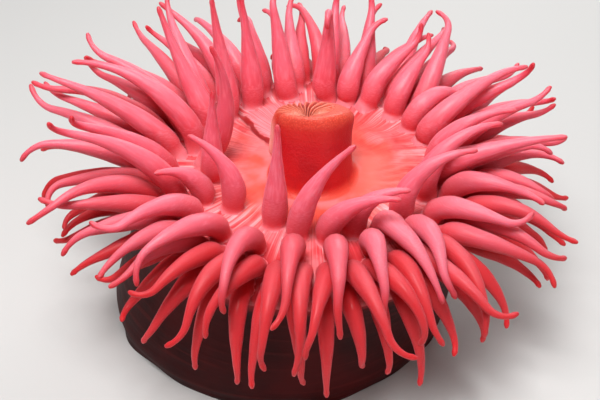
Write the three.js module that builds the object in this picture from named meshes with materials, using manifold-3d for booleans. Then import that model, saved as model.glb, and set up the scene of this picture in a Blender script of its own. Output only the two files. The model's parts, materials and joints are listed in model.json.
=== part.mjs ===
// A sea anemone at life size, open and at rest on its pedal disc.
// Millimetres, +Z up, the front is -Y. The origin is the centre of the flat underside.
// A maroon column carries a broad oral disc, a raised mouth in its middle, and four cycles of
// tapering tentacles. The innermost cycle stands on the disc, one solid to a tentacle. The three
// outer cycles grow from the rim, which is parted into sectors with the tentacles they bear.

import * as THREE from 'three';
import { mergeVertices } from 'three/addons/utils/BufferGeometryUtils.js';
import Module from 'manifold-3d';

const wasm = await Module();
wasm.setup();

// ---- Driving dimensions, in millimetres and degrees ----

const GAP = 0.3; // space left between neighbouring solids
const DISC_HEIGHT = 61; // oral disc above the floor
const DISC_SHIFT = 12.5; // the disc stands this far to the right of the foot
const DISC_TILT = 2.5; // the disc faces forward by this angle
const FOOT_RADIUS = 63.5; // flat underside of the pedal disc
const COLUMN_RADIUS = 65; // widest part of the column, near the foot
const WAIST_RADIUS = 62.5; // column just under the crown
const FLAT_RADIUS = 46; // level part of the oral disc
const RIM_RADIUS = 67; // outer edge of the rim that bears the tentacles
const RIM_DROP = 10; // the rim rounds down by this much to its outer edge
const CROWN_BOTTOM = 45; // underside of the crown sectors and the oral disc
const DISC_EDGE = 47; // the oral disc ends here and the crown sectors begin
const COLUMN_SPLIT = 25; // height of the cut between the two lengths of column
const PEDAL_HEIGHT = 6; // thickness of the pedal disc
const BODY_SIDES = 30; // facets round the body

const MOUTH_RADIUS = 14.2;
const MOUTH_HEIGHT = 25;
const MOUTH_FORWARD = 8; // the mouth stands this far in front of the disc's centre
const MOUTH_LEAN = 18; // and its top leans back by this angle
const MOUTH_SIDES = 16;

const SECTORS = 24;
const TIP_RADIUS = 0.75; // tentacle tip
const CURVE_STEPS = 24; // steps along a tentacle's centreline
const ROOT_DEPTH = 1.5; // how far a tentacle reaches into the tissue it grows from
const FACET_FIT = 0.95; // corners of faceted sections lie just inside the round ones they follow

// Four cycles of tentacles, from the mouth outwards.
const CYCLES = [
  { count: 24, offset: 0, root: 44.5, radius: 4.3, sides: 5, segments: 5 },
  { count: 24, offset: 7.5, root: 51.5, radius: 4.1, sides: 5, segments: 4 },
  { count: 48, offset: 3.75, root: 58.4, radius: 3.65, sides: 4, segments: 3 },
  { count: 48, offset: 1.9, root: 64.6, radius: 3.3, sides: 4, segments: 3 },
];

// How each tentacle of the innermost cycle is held, one for every 15 degrees from +X.
// shift: degrees round the disc; inset: nearer to the mouth; rise and fall: elevation at the
// root and at the tip; turn: heading off the outward direction; sweep: heading gained on the
// way; flick: elevation gained over the last quarter.
const INNER_POSES = [
  { shift: -4, rise: 85, fall: 0, turn: 4, length: 41 },
  { shift: 4, rise: 52, fall: 0, length: 53 },
  { shift: 2, rise: 82, fall: -80, length: 36 },
  { rise: 62, fall: 24, flick: 40, hook: 60, length: 36 },
  { shift: 1, inset: 1, rise: 54, fall: 28, turn: -30, flick: 70, length: 40 },
  { shift: -3, rise: 62, fall: 42, turn: -18, flick: -20, hook: -60, length: 38 },
  { shift: -8, rise: 88, fall: 90, flick: 230, length: 47 },
  { shift: -3, rise: 74, fall: 70, turn: 20, flick: -50, hook: -95, length: 46 },
  { shift: 2, rise: 80, fall: 82, turn: -30, sweep: 60, length: 45 },
  { shift: 3, rise: 74, fall: 84, turn: -50, sweep: 80, length: 48 },
  { shift: 1, inset: -1, rise: 60, fall: 66, turn: -10, length: 50 },
  { shift: 3, rise: 78, fall: -8, length: 61 },
  { inset: 5, rise: 55, fall: 115, turn: -165, length: 50 },
  { shift: -3, inset: 7, rise: 88, fall: 86, turn: -160, length: 35 },
  { shift: -2, rise: 85, fall: 5, turn: 5, length: 27 },
  { shift: -3, inset: 6, rise: 74, fall: 160, turn: 125, length: 34 },
  { shift: 9, inset: 6, rise: 86, fall: 89, turn: 130, length: 40 },
  { shift: 7, inset: 2, rise: 86, fall: 40, turn: 100, length: 42 },
  { shift: 6, inset: 1, rise: 80, fall: 5, turn: 65, length: 36 },
  { shift: 3, inset: 3, rise: 90, fall: 0, turn: 68, length: 29 },
  { inset: -1, rise: 30, fall: -50, length: 46 },
  { shift: -2, rise: 98, fall: 0, turn: 52, length: 41 },
  { shift: 5, rise: 96, fall: -8, turn: 40, length: 43 },
  { shift: 2, rise: 44, fall: 10, turn: 4, length: 53 },
];

// How the three outer cycles are held: a middle value for each cycle, and what is added towards
// the back, the left, the front left corner, the front and the right. Length in mm, rise and
// fall in degrees.
const OUTER_HABIT = {
  rise: {
    middle: [52, 38, 10],
    back: [16, 10, 8],
    left: [8, 6, 4],
    front: [12, 8, -16],
    frontRight: [-30, -12, 0],
  },
  fall: {
    middle: [-5, -30, -60],
    back: [45, 30, 15],
    left: [12, 10, 25],
    corner: [0, 10, 30],
    front: [-75, -58, -34],
    frontRight: [14, 6, 0],
    right: [0, 14, 36],
  },
  length: {
    middle: [50, 47, 41],
    back: [-6, -7, -6],
    left: [7, 6, -2],
    corner: [0, -2, -8],
    front: [-3, -3, -6],
    right: [-5, -8, -11],
  },
};
const SIDES_OF_BODY = {
  back: { centre: 90, width: 100 },
  left: { centre: 170, width: 90 },
  corner: { centre: 216, width: 45 },
  front: { centre: 275, width: 100 },
  frontRight: { centre: 312, width: 42 },
  right: { centre: 0, width: 80 },
};
const SCATTER = { rise: 10, fall: 18, turn: 12, sweep: 28, flick: 60, hook: 90, length: 0.12 };
const OUTER_FLICK = 12; // tips of the outer cycles turn up a little on the whole

// Crowded tentacles push each other aside.
const CLEARANCE = 0.9;
const RELAX_ROUNDS = 80;
const PAIR_REACH = 14;
const PAIR_REFRESH = 8;
const FLOOR_CLEARANCE = 5;
const BODY_CLEARANCE = 1;

// ---- Colours ----

function flesh(colour, roughness) {
  return new THREE.MeshStandardMaterial({ color: colour, roughness, metalness: 0 });
}

const COLUMN_COLOUR = 0x431c1c;
const PEDAL_COLOUR = 0x52262a;
const DISC_COLOUR = 0xf58a78;
const MOUTH_COLOUR = 0xdc3c30;
const INNER_COLOUR = 0xf4607a;
const CROWN_COLOUR = 0xe84a5e;

// ---- Small helpers ----

const radians = THREE.MathUtils.degToRad;
const UP = new THREE.Vector3(0, 0, 1);

function smoothstep(value) {
  const t = Math.min(1, Math.max(0, value));
  return t * t * (3 - 2 * t);
}

// A repeatable number from -1 to 1 for a given tentacle and trait.
function scatter(number, trait) {
  const value = Math.sin(number * 12.9898 + trait * 78.233) * 43758.5453;
  return (value - Math.floor(value)) * 2 - 1;
}

// 1 at the centre angle, falling to 0 at the width on either side.
function nearness(angle, { centre, width }) {
  const turns = ((angle - centre + 180) % 360 + 360) % 360;
  const away = Math.abs(turns - 180);
  return 0.5 + 0.5 * Math.cos(Math.PI * Math.min(1, away / width));
}

// ---- The body's form ----

// Height of the upper surface at a distance from the axis.
function surfaceHeight(distance) {
  if (distance <= FLAT_RADIUS) return DISC_HEIGHT;
  const out = Math.min(1, (distance - FLAT_RADIUS) / (RIM_RADIUS - FLAT_RADIUS));
  return DISC_HEIGHT - RIM_DROP + RIM_DROP * Math.sqrt(1 - out * out);
}

// Radius of the column and rim at a height.
function bodyRadius(height) {
  const rimEdge = DISC_HEIGHT - RIM_DROP;
  if (height > rimEdge) return RIM_RADIUS;
  const upper = smoothstep((height - CROWN_BOTTOM + 4) / (rimEdge - CROWN_BOTTOM + 4));
  const lower = smoothstep((height - PEDAL_HEIGHT) / (CROWN_BOTTOM - 8 - PEDAL_HEIGHT));
  const column = COLUMN_RADIUS + (WAIST_RADIUS - COLUMN_RADIUS) * lower;
  const foot = (1 - smoothstep(height / PEDAL_HEIGHT)) * (COLUMN_RADIUS - FOOT_RADIUS);
  return column + (RIM_RADIUS - WAIST_RADIUS) * upper - foot;
}

// The upright body is tipped forward and shifted to the right as it rises from its foot.
function lean(point) {
  const rise = smoothstep(point.z / DISC_HEIGHT);
  const angle = radians(DISC_TILT) * rise;
  const above = point.z - DISC_HEIGHT;
  const { y } = point;
  point.y = y * Math.cos(angle) - above * Math.sin(angle);
  point.z = DISC_HEIGHT + y * Math.sin(angle) + above * Math.cos(angle);
  point.x += DISC_SHIFT * rise;
  return point;
}

// ---- Between geometries and solids ----

function toSolid(geometry) {
  const bare = geometry.clone();
  bare.deleteAttribute('normal');
  bare.deleteAttribute('uv');
  const merged = mergeVertices(bare, 1e-4);
  const corners = merged.index.array;
  const triangles = [];
  for (let i = 0; i < corners.length; i += 3) {
    const [a, b, c] = corners.slice(i, i + 3);
    if (a !== b && b !== c && c !== a) triangles.push(a, b, c);
  }
  return new wasm.Manifold(new wasm.Mesh({
    numProp: 3,
    vertProperties: Float32Array.from(merged.attributes.position.array),
    triVerts: Uint32Array.from(triangles),
  }));
}

function toGeometry(solid) {
  const mesh = solid.getMesh();
  const geometry = new THREE.BufferGeometry();
  geometry.setAttribute('position', new THREE.BufferAttribute(mesh.vertProperties, 3));
  geometry.setIndex(new THREE.BufferAttribute(mesh.triVerts, 1));
  geometry.computeVertexNormals();
  return geometry;
}

// Moves every vertex of a geometry by a function of its place.
function reshape(geometry, move) {
  const places = geometry.attributes.position;
  const point = new THREE.Vector3();
  for (let i = 0; i < places.count; i += 1) {
    move(point.fromBufferAttribute(places, i), i);
    places.setXYZ(i, point.x, point.y, point.z);
  }
  return geometry;
}

// A cut can leave loose crumbs, so only the largest piece stays.
function largestPiece(solid) {
  const pieces = solid.decompose();
  return pieces.reduce((best, piece) => (piece.volume() > best.volume() ? piece : best));
}

function namedMesh(name, geometry, material) {
  const mesh = new THREE.Mesh(geometry, material);
  mesh.name = name;
  return mesh;
}

// ---- The body ----

// Turns a profile of [radius, height] pairs about the upright axis.
function turned(profile, sides, startAngle = 0) {
  const points = profile.map(([radius, height]) => new THREE.Vector2(radius, height));
  const geometry = new THREE.LatheGeometry(points, sides, startAngle);
  return geometry.rotateX(Math.PI / 2);
}

// Profile points on the column between two heights.
function columnProfile(bottom, top, steps) {
  const profile = [[0, bottom]];
  for (let i = 0; i <= steps; i += 1) {
    const height = bottom + ((top - bottom) * i) / steps;
    profile.push([bodyRadius(height), height]);
  }
  profile.push([0, top]);
  return profile;
}

function columnLength(name, bottom, top, steps, colour) {
  const geometry = reshape(turned(columnProfile(bottom, top, steps), BODY_SIDES), lean);
  return namedMesh(name, toGeometry(toSolid(geometry)), flesh(colour, 0.45));
}

function oralDisc() {
  const edge = DISC_EDGE - GAP / 2;
  const profile = [[0, CROWN_BOTTOM], [edge, CROWN_BOTTOM], [edge, surfaceHeight(edge)], [0, DISC_HEIGHT]];
  const geometry = reshape(turned(profile, BODY_SIDES), lean);
  return namedMesh('oral_disc', toGeometry(toSolid(geometry)), flesh(DISC_COLOUR, 0.4));
}

// The raised mouth: a short tube of flesh whose top folds in to a shallow pit.
function mouthProfile() {
  const r = MOUTH_RADIUS;
  const base = DISC_HEIGHT + GAP;
  const top = DISC_HEIGHT + MOUTH_HEIGHT;
  return [
    [0, base], [r + 0.6, base], [r, base + 4], [r - 0.4, top - 11], [r + 0.2, top - 5],
    [r - 1.2, top - 1.8], [r - 4, top - 0.3], [r * 0.35, top - 1.6], [0, top - 4.5],
  ];
}

// Leans a point of the mouth back about the middle of its base, more the higher it stands.
function leanBack(point) {
  const above = point.z - DISC_HEIGHT;
  const angle = radians(MOUTH_LEAN) * smoothstep(above / MOUTH_HEIGHT);
  const { y } = point;
  point.y = y * Math.cos(angle) + above * Math.sin(angle);
  point.z = DISC_HEIGHT - y * Math.sin(angle) + above * Math.cos(angle);
  return point;
}

function mouth() {
  const upright = turned(mouthProfile(), MOUTH_SIDES);
  const placed = reshape(upright, leanBack).translate(0, -MOUTH_FORWARD, 0);
  return namedMesh('mouth', toGeometry(toSolid(reshape(placed, lean))), flesh(MOUTH_COLOUR, 0.4));
}

// ---- How the tentacles are held ----

function habit(trait, cycle, azimuth) {
  const { middle, ...added } = OUTER_HABIT[trait];
  return Object.entries(added).reduce(
    (sum, [side, amounts]) => sum + amounts[cycle - 1] * nearness(azimuth, SIDES_OF_BODY[side]),
    middle[cycle - 1],
  );
}

function innerTentacle(index, azimuth, root) {
  const pose = { shift: 0, inset: 0, turn: 0, sweep: 0, flick: 0, hook: 0, ...INNER_POSES[index] };
  return { ...pose, azimuth: azimuth + pose.shift, root: root - pose.inset };
}

function outerTentacle(cycle, number, azimuth, root) {
  return {
    azimuth,
    root,
    rise: habit('rise', cycle, azimuth) + SCATTER.rise * scatter(number, 1),
    fall: habit('fall', cycle, azimuth) + SCATTER.fall * scatter(number, 2),
    turn: SCATTER.turn * scatter(number, 3),
    sweep: SCATTER.sweep * scatter(number, 4),
    flick: SCATTER.flick * scatter(number, 5) + OUTER_FLICK,
    hook: SCATTER.hook * scatter(number, 6),
    length: habit('length', cycle, azimuth) * (1 + SCATTER.length * scatter(number, 7)),
  };
}

// The centreline starts on the surface and bends from its rise to its fall.
function centreline({ azimuth, root, rise, fall, turn, sweep, flick, hook, length }) {
  const start = radians(azimuth);
  const point = new THREE.Vector3(root * Math.cos(start), root * Math.sin(start), surfaceHeight(root));
  const points = [lean(point).clone()];
  for (let i = 0; i < CURVE_STEPS; i += 1) {
    const along = (i + 0.5) / CURVE_STEPS;
    const tipward = Math.max(0, (along - 0.76) / 0.24);
    const elevation = radians(rise + (fall - rise) * along + flick * tipward);
    const heading = start + radians(turn + sweep * along + hook * tipward);
    const step = new THREE.Vector3(Math.cos(elevation), 0, Math.sin(elevation));
    step.applyAxisAngle(UP, heading);
    point.addScaledVector(step, length / CURVE_STEPS);
    points.push(point.clone());
  }
  return points;
}

// Full over the lower half, then a long taper to a blunt tip.
function radiusAlong(radius, along) {
  const swell = 1 + 0.35 * Math.sin(Math.PI * Math.min(1, 1.4 * along));
  return TIP_RADIUS + (radius - TIP_RADIUS) * (1 - along) * swell;
}

function allTentacles() {
  const tentacles = [];
  CYCLES.forEach(({ count, offset, root, radius, sides, segments }, cycle) => {
    for (let index = 0; index < count; index += 1) {
      const azimuth = offset + (360 / count) * index;
      const held = cycle === 0
        ? innerTentacle(index, azimuth, root)
        : outerTentacle(cycle, tentacles.length, azimuth, root);
      const points = centreline(held);
      const radii = points.map((_, i) => radiusAlong(radius, i / CURVE_STEPS));
      const sector = Math.floor((azimuth * SECTORS) / 360);
      tentacles.push({ cycle, sector, sides, segments, points, radii, length: held.length });
    }
  });
  return tentacles;
}

// ---- Crowded tentacles push each other aside ----

function nearbyPairs(beads) {
  const pairs = [];
  for (let i = 0; i < beads.length; i += 1) {
    for (let j = i + 1; j < beads.length; j += 1) {
      if (beads[i].owner !== beads[j].owner
        && beads[i].place.distanceToSquared(beads[j].place) < PAIR_REACH ** 2) {
        pairs.push([beads[i], beads[j]]);
      }
    }
  }
  return pairs;
}

function pushApart(beads, pairs) {
  beads.forEach((bead) => {
    bead.push.set(0, 0, 0);
    bead.touches = 0;
  });
  const between = new THREE.Vector3();
  pairs.forEach(([a, b]) => {
    between.subVectors(a.place, b.place);
    const distance = between.length() + 1e-9;
    const overlap = a.reach + b.reach + CLEARANCE - distance;
    if (overlap <= 0) return;
    between.multiplyScalar((0.5 * overlap) / distance);
    a.push.add(between);
    b.push.sub(between);
    a.touches += 1;
    b.touches += 1;
  });
  beads.forEach((bead) => {
    if (!bead.rooted) bead.place.addScaledVector(bead.push, 1 / Math.max(1, bead.touches / 2));
  });
}

function keepOffBodyAndFloor(beads) {
  beads.forEach(({ place, radius, rooted }) => {
    if (rooted) return;
    const axis = DISC_SHIFT * smoothstep(place.z / DISC_HEIGHT);
    const distance = Math.hypot(place.x - axis, place.y);
    const limit = bodyRadius(place.z) + radius + BODY_CLEARANCE;
    if (place.z < DISC_HEIGHT - RIM_DROP + 1 && distance < limit) {
      place.x = axis + ((place.x - axis) * limit) / distance;
      place.y *= limit / distance;
    }
    place.z = Math.max(place.z, radius + FLOOR_CLEARANCE);
  });
}

// Smooths how far a tentacle has moved from its free pose, then restores its length.
function settle(tentacle) {
  const { points, home, length } = tentacle;
  const moved = points.map((point, i) => point.clone().sub(home[i]));
  const last = points.length - 1;
  for (let i = 2; i <= last; i += 1) {
    const beyond = i < last ? moved[i + 1] : moved[i - 1];
    points[i].copy(home[i]).addScaledVector(moved[i], 0.5);
    points[i].addScaledVector(moved[i - 1], 0.25).addScaledVector(beyond, 0.25);
  }
  for (let i = 1; i <= last; i += 1) {
    const step = points[i].clone().sub(points[i - 1]).setLength(length / CURVE_STEPS);
    points[i].copy(points[i - 1]).add(step);
  }
}

function relax(tentacles) {
  const beads = tentacles.flatMap((tentacle, owner) => {
    tentacle.home = tentacle.points.map((point) => point.clone());
    const half = tentacle.length / CURVE_STEPS / 2;
    return tentacle.points.map((place, i) => ({
      owner,
      place,
      radius: tentacle.radii[i],
      reach: Math.hypot(tentacle.radii[i], half),
      rooted: i < 2,
      push: new THREE.Vector3(),
      touches: 0,
    }));
  });
  let pairs = [];
  for (let round = 0; round < RELAX_ROUNDS; round += 1) {
    if (round % PAIR_REFRESH === 0) pairs = nearbyPairs(beads);
    pushApart(beads, pairs);
    keepOffBodyAndFloor(beads);
    tentacles.forEach(settle);
  }
}

// ---- Tentacle solids ----

// A point part way along a list of points or numbers.
function sample(values, along, mix) {
  const place = along * (values.length - 1);
  const i = Math.min(values.length - 2, Math.floor(place));
  return mix(values[i], values[i + 1], place - i);
}

// A cylinder bent along the centreline and tapered. The root reaches into the body.
function tentacleGeometry({ points, radii, sides, segments }, extra = 0) {
  const stations = [];
  let side = new THREE.Vector3(0, 0, 1);
  for (let i = 0; i <= segments; i += 1) {
    const along = i / segments;
    const centre = sample(points, along, (a, b, t) => a.clone().lerp(b, t));
    const ahead = sample(points, Math.min(1, along + 0.06), (a, b, t) => a.clone().lerp(b, t));
    const behind = sample(points, Math.max(0, along - 0.06), (a, b, t) => a.clone().lerp(b, t));
    const forward = ahead.sub(behind).normalize();
    if (i === 0 && Math.abs(forward.z) > 0.9) side.set(1, 0, 0);
    side = side.clone().addScaledVector(forward, -side.dot(forward)).normalize();
    const across = new THREE.Vector3().crossVectors(forward, side);
    const radius = FACET_FIT * sample(radii, along, THREE.MathUtils.lerp) + extra;
    stations.push({ centre, forward, side, across, radius });
  }
  stations[0].centre.addScaledVector(stations[0].forward, -ROOT_DEPTH);
  const geometry = new THREE.CylinderGeometry(1, 1, segments, sides, segments);
  return reshape(geometry, (point) => {
    const station = stations[Math.round(point.y + segments / 2)];
    const { x, z } = point;
    const atAxis = Math.hypot(x, z) < 0.5;
    const isTip = station === stations[segments];
    point.copy(station.centre);
    if (atAxis && isTip) point.addScaledVector(station.forward, station.radius);
    if (atAxis) return;
    point.addScaledVector(station.side, x * station.radius);
    point.addScaledVector(station.across, -z * station.radius);
  });
}

// ---- The crown: sectors of the rim with their tentacles ----

function rimSolid() {
  const inner = (DISC_EDGE + GAP / 2) / Math.cos(Math.PI / SECTORS);
  const profile = [[inner, CROWN_BOTTOM], [bodyRadius(CROWN_BOTTOM), CROWN_BOTTOM]];
  const corners = 2;
  for (let i = 0; i <= corners; i += 1) {
    const angle = (Math.PI / 2) * (i / corners);
    const radius = Math.max(inner, FLAT_RADIUS + (RIM_RADIUS - FLAT_RADIUS) * Math.cos(angle));
    profile.push([radius, surfaceHeight(radius)]);
  }
  profile.push([inner, CROWN_BOTTOM]);
  return toSolid(turned(profile, SECTORS));
}

// A tall wedge about the axis, drawn in by half a gap on both sides.
function wedgeSolid(sector) {
  const width = radians(360 / SECTORS);
  const middle = width * (sector + 0.5);
  const apex = GAP / 2 / Math.sin(width / 2);
  const far = RIM_RADIUS * 1.3;
  const outline = [[0, 0], [far, -width / 2], [far, width / 2]].map(([distance, angle]) => new THREE.Vector2(
    apex * Math.cos(middle) + distance * Math.cos(middle + angle),
    apex * Math.sin(middle) + distance * Math.sin(middle + angle),
  ));
  const tall = { depth: 2 * DISC_HEIGHT, bevelEnabled: false };
  return toSolid(new THREE.ExtrudeGeometry(new THREE.Shape(outline), tall));
}

// The space under the level part of the disc and a gap above it, for trimming what stands on it.
function belowDiscSolid() {
  const depth = 2 * ROOT_DEPTH + GAP;
  const block = new THREE.BoxGeometry(3 * RIM_RADIUS, 3 * RIM_RADIUS, depth);
  return toSolid(reshape(block.translate(0, 0, DISC_HEIGHT + GAP), (point) => {
    point.z = point.z > DISC_HEIGHT ? DISC_HEIGHT + GAP : DISC_HEIGHT - depth;
    const tilted = point.z - DISC_HEIGHT;
    const angle = radians(DISC_TILT);
    const { y } = point;
    point.y = y * Math.cos(angle) - tilted * Math.sin(angle);
    point.z = DISC_HEIGHT + y * Math.sin(angle) + tilted * Math.cos(angle);
  }));
}

// The oral disc with half a gap round it, which the roots of the crown keep clear of.
function discKeepOut() {
  const edge = (DISC_EDGE + GAP / 2) / Math.cos(Math.PI / SECTORS);
  const bottom = CROWN_BOTTOM - GAP;
  const profile = [[0, bottom], [edge, bottom], [edge, DISC_HEIGHT], [0, DISC_HEIGHT]];
  return toSolid(reshape(turned(profile, SECTORS), lean));
}

function overlapping(a, b) {
  return a.intersect(b).volume() > 0;
}

// ---- The whole animal ----

const group = new THREE.Group();
group.add(columnLength('pedal_disc', 0, PEDAL_HEIGHT, 1, PEDAL_COLOUR));
group.add(columnLength('column_lower', PEDAL_HEIGHT + GAP, COLUMN_SPLIT, 2, COLUMN_COLOUR));
group.add(columnLength('column_upper', COLUMN_SPLIT + GAP, CROWN_BOTTOM - GAP, 1, COLUMN_COLOUR));
group.add(oralDisc());
group.add(mouth());

const tentacles = allTentacles();
relax(tentacles);
tentacles.forEach((tentacle) => {
  tentacle.solid = toSolid(tentacleGeometry(tentacle));
  tentacle.keepOut = toSolid(tentacleGeometry(tentacle, GAP));
});

// Where faceted neighbours still touch, the later one is trimmed.
function trimmed(solid, neighbours) {
  return neighbours.reduce(
    (rest, { keepOut }) => (overlapping(rest, keepOut) ? rest.subtract(keepOut) : rest),
    solid,
  );
}

const number = (index) => String(index + 1).padStart(2, '0');
const belowDisc = belowDiscSolid();
const inner = tentacles.filter(({ cycle }) => cycle === 0);
inner.forEach((tentacle, index) => {
  const standing = tentacle.solid.subtract(belowDisc);
  const solid = largestPiece(trimmed(standing, inner.slice(0, index)));
  group.add(namedMesh(`tentacle_${number(index)}`, toGeometry(solid), flesh(INNER_COLOUR, 0.4)));
});

const rim = rimSolid();
const disc = { keepOut: discKeepOut() };
const outer = tentacles.filter(({ cycle }) => cycle > 0);
for (let sector = 0; sector < SECTORS; sector += 1) {
  const own = outer.filter((tentacle) => tentacle.sector === sector);
  const others = outer.filter((tentacle) => tentacle.sector !== sector);
  const earlier = [disc, ...inner, ...others.filter((tentacle) => tentacle.sector < sector)];
  const block = toSolid(reshape(toGeometry(rim.intersect(wedgeSolid(sector))), lean));
  const bearing = trimmed(block, others);
  const grown = own.reduce((solid, tentacle) => solid.add(trimmed(tentacle.solid, earlier)), bearing);
  group.add(namedMesh(`crown_${number(sector)}`, toGeometry(largestPiece(grown)), flesh(CROWN_COLOUR, 0.4)));
}

export default group;
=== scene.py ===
# %% [markdown]
# # A sea anemone
# A live sea anemone is a soft sac of flesh. A wide column stands on a sticky foot, the pedal disc.
# On top is the oral disc with a raised mouth, ringed by cycles of hollow tentacles.
# The solid model gives every part its true place. This script grows one skin over all of them,
# because on the animal the flesh is one piece, and then paints and lights it.

# %% Tools and frame
import json
import math

import bmesh
import bpy
import numpy as np
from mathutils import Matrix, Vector

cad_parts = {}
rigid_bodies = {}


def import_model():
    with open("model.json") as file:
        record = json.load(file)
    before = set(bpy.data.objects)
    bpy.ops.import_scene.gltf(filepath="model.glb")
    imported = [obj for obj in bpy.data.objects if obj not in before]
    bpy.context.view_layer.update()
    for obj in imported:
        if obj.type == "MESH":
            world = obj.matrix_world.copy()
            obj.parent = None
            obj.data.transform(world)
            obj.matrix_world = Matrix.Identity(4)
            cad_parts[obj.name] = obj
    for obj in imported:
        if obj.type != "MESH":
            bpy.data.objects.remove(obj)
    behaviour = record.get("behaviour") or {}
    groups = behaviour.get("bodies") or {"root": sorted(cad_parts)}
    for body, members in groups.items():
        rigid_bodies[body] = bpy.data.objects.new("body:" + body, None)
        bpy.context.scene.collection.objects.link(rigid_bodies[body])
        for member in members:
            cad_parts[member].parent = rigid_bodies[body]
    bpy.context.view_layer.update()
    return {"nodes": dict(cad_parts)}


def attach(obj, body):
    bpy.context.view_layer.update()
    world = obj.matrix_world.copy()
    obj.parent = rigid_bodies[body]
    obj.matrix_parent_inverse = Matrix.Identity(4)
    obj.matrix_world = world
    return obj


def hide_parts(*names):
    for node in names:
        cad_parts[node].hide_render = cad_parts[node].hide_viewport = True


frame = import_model()
print("solid parts:", len(frame["nodes"]))

# %% [markdown]
# ## The sizes
# The skin follows the same driving sizes as the solids, so it lies close to them all over.
# They are in millimetres and degrees, and only the finished mesh is turned into metres.

# %% Driving sizes
MM = 0.001
DISC_HEIGHT = 61.0
DISC_SHIFT = 12.5
DISC_TILT = 2.5
FOOT_RADIUS = 63.5
COLUMN_RADIUS = 65.0
WAIST_RADIUS = 62.5
FLAT_RADIUS = 46.0
RIM_RADIUS = 67.0
RIM_DROP = 10.0
CROWN_BOTTOM = 45.0
PEDAL_HEIGHT = 6.0
WAIST_DROP = 8.0
RIM_FLARE = 4.0
MOUTH_RADIUS = 14.2
MOUTH_HEIGHT = 25.0
MOUTH_FORWARD = 8.0
MOUTH_LEAN = 18.0
TIP_RADIUS = 0.75
CURVE_STEPS = 24
ROOT_DEPTH = 3.0
RIM_EDGE = DISC_HEIGHT - RIM_DROP

# %% Small helpers
def smoothstep(value):
    t = np.clip(value, 0.0, 1.0)
    return t * t * (3 - 2 * t)


def rising(value, start, width):
    """0 up to the start and 1 from a width beyond it, smooth between them."""
    return smoothstep((value - start) / width)


def falling(value, stop, width):
    """1 up to a width before the stop and 0 from there on, smooth between them."""
    return smoothstep((stop - value) / width)


def bell(value, centre, width):
    return np.exp(-((value - centre) / width) ** 2)


def scatter(number, trait):
    """A repeatable number from -1 to 1 for a tentacle and a trait."""
    value = math.sin(number * 12.9898 + trait * 78.233) * 43758.5453
    return (value - math.floor(value)) * 2 - 1


def nearness(angle, centre, width):
    """1 at the centre angle, falling to 0 at the width on either side."""
    away = abs((angle - centre + 180) % 360 - 180)
    return 0.5 + 0.5 * math.cos(math.pi * min(1, away / width))


# %% [markdown]
# ## The body's form
# Three small formulas describe the body: how high its upper surface is at a distance from the
# axis, how wide the column is at a height, and how the whole body leans. The animal rises off its
# foot a little to one side and tips its disc forward. Each formula works on whole arrays of
# points at once, which keeps the script quick.

# %% Form of the body
def surface_height(distance):
    out = np.clip((distance - FLAT_RADIUS) / (RIM_RADIUS - FLAT_RADIUS), 0, 1)
    return RIM_EDGE + RIM_DROP * np.sqrt(1 - out * out)


def body_radius(height):
    upper = smoothstep((height - CROWN_BOTTOM + RIM_FLARE) / (RIM_EDGE - CROWN_BOTTOM + RIM_FLARE))
    lower = rising(height, PEDAL_HEIGHT, CROWN_BOTTOM - WAIST_DROP - PEDAL_HEIGHT)
    column = COLUMN_RADIUS + (WAIST_RADIUS - COLUMN_RADIUS) * lower
    foot = (1 - smoothstep(height / PEDAL_HEIGHT)) * (COLUMN_RADIUS - FOOT_RADIUS)
    return column + (RIM_RADIUS - WAIST_RADIUS) * upper - foot


def lean(points):
    rise = smoothstep(points[..., 2] / DISC_HEIGHT)
    angle = math.radians(DISC_TILT) * rise
    above = points[..., 2] - DISC_HEIGHT
    leaned = points.copy()
    leaned[..., 0] += DISC_SHIFT * rise
    leaned[..., 1] = points[..., 1] * np.cos(angle) - above * np.sin(angle)
    leaned[..., 2] = DISC_HEIGHT + points[..., 1] * np.sin(angle) + above * np.cos(angle)
    return leaned


# %% [markdown]
# ## How the tentacles are held
# The tentacles stand in four cycles, and each younger cycle stands further out. Those of the
# innermost cycle are posed one by one, because they frame the mouth and each is easy to see. The
# others follow a habit: they stand up at the back, spread at the sides and hang over the front,
# each with a little scatter of its own. A pose is read along the tentacle as an elevation that
# goes from rise to fall, and a heading that starts at turn and gains sweep.

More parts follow.
